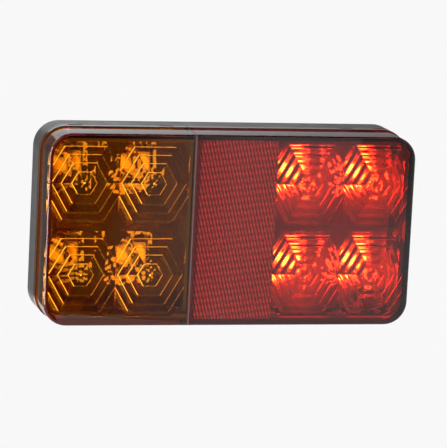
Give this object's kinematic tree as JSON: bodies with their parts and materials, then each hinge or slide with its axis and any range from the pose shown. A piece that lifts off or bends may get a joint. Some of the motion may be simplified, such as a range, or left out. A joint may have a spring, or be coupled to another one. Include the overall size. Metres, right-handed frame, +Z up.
{
  "type": "trailer tail light",
  "caption": "Rectangular surface-mounted trailer tail light with an amber turn lens, a red reflex reflector and a red stop and tail lens with hexagonal optics.",
  "frame": {"origin": "centre of the flat rear mounting face of the housing", "axes": "+Y out of the rear face towards the panel it is fixed to, so the lens faces -Y; +X along the lamp's length towards the red end; +Z up"},
  "size_m": [0.15, 0.052, 0.0776],
  "materials": {
    "housing_black": "satin moulded black ABS",
    "lens_amber": "clear amber acrylic, polished",
    "lens_red": "clear red acrylic, polished",
    "joint_grey": "pale grey bonding strip",
    "seal_rubber": "black silicone bead",
    "reflex_red": "red acrylic with a moulded corner-cube back",
    "backing_black": "black welded cap",
    "shield_black": "matt black moulded polypropylene",
    "board_black": "black solder mask",
    "led_body_white": "white moulded package",
    "led_window_amber": "yellow silicone fill, unlit",
    "led_window_red": "clear silicone fill, lit red",
    "resistor_black": "ceramic chip resistor",
    "chip_black": "moulded epoxy",
    "capacitor_can": "plain can",
    "terminal_green": "moulded nylon",
    "screw_steel": "zinc plated",
    "stud_zinc": "zinc plated",
    "grommet_rubber": "black rubber"
  },
  "bodies": {
    "root": {"board_screws": "screw_steel", "cable_grommet": "grommet_rubber", "circuit_board": "board_black", "current_regulators": "chip_black", "housing": "housing_black", "led_amber_1_body": "led_body_white", "led_amber_1_window": "led_window_amber", "led_amber_2_body": "led_body_white", "led_amber_2_window": "led_window_amber", "led_amber_3_body": "led_body_white", "led_amber_3_window": "led_window_amber", "led_amber_4_body": "led_body_white", "led_amber_4_window": "led_window_amber", "led_red_1_body": "led_body_white", "led_red_1_window": "led_window_red", "led_red_2_body": "led_body_white", "led_red_2_window": "led_window_red", "led_red_3_body": "led_body_white", "led_red_3_window": "led_window_red", "led_red_4_body": "led_body_white", "led_red_4_window": "led_window_red", "lens_amber": "lens_amber", "lens_joint": "joint_grey", "lens_red": "lens_red", "lens_seal": "seal_rubber", "light_shield": "shield_black", "mounting_studs": "stud_zinc", "polarity_diodes": "chip_black", "reflex_backing": "backing_black", "reflex_panel": "reflex_red", "smoothing_capacitors": "capacitor_can", "stop_resistors": "resistor_black", "surge_suppressor": "chip_black", "tail_resistors": "resistor_black", "terminal_block": "terminal_green"}
  },
  "joints": []
}
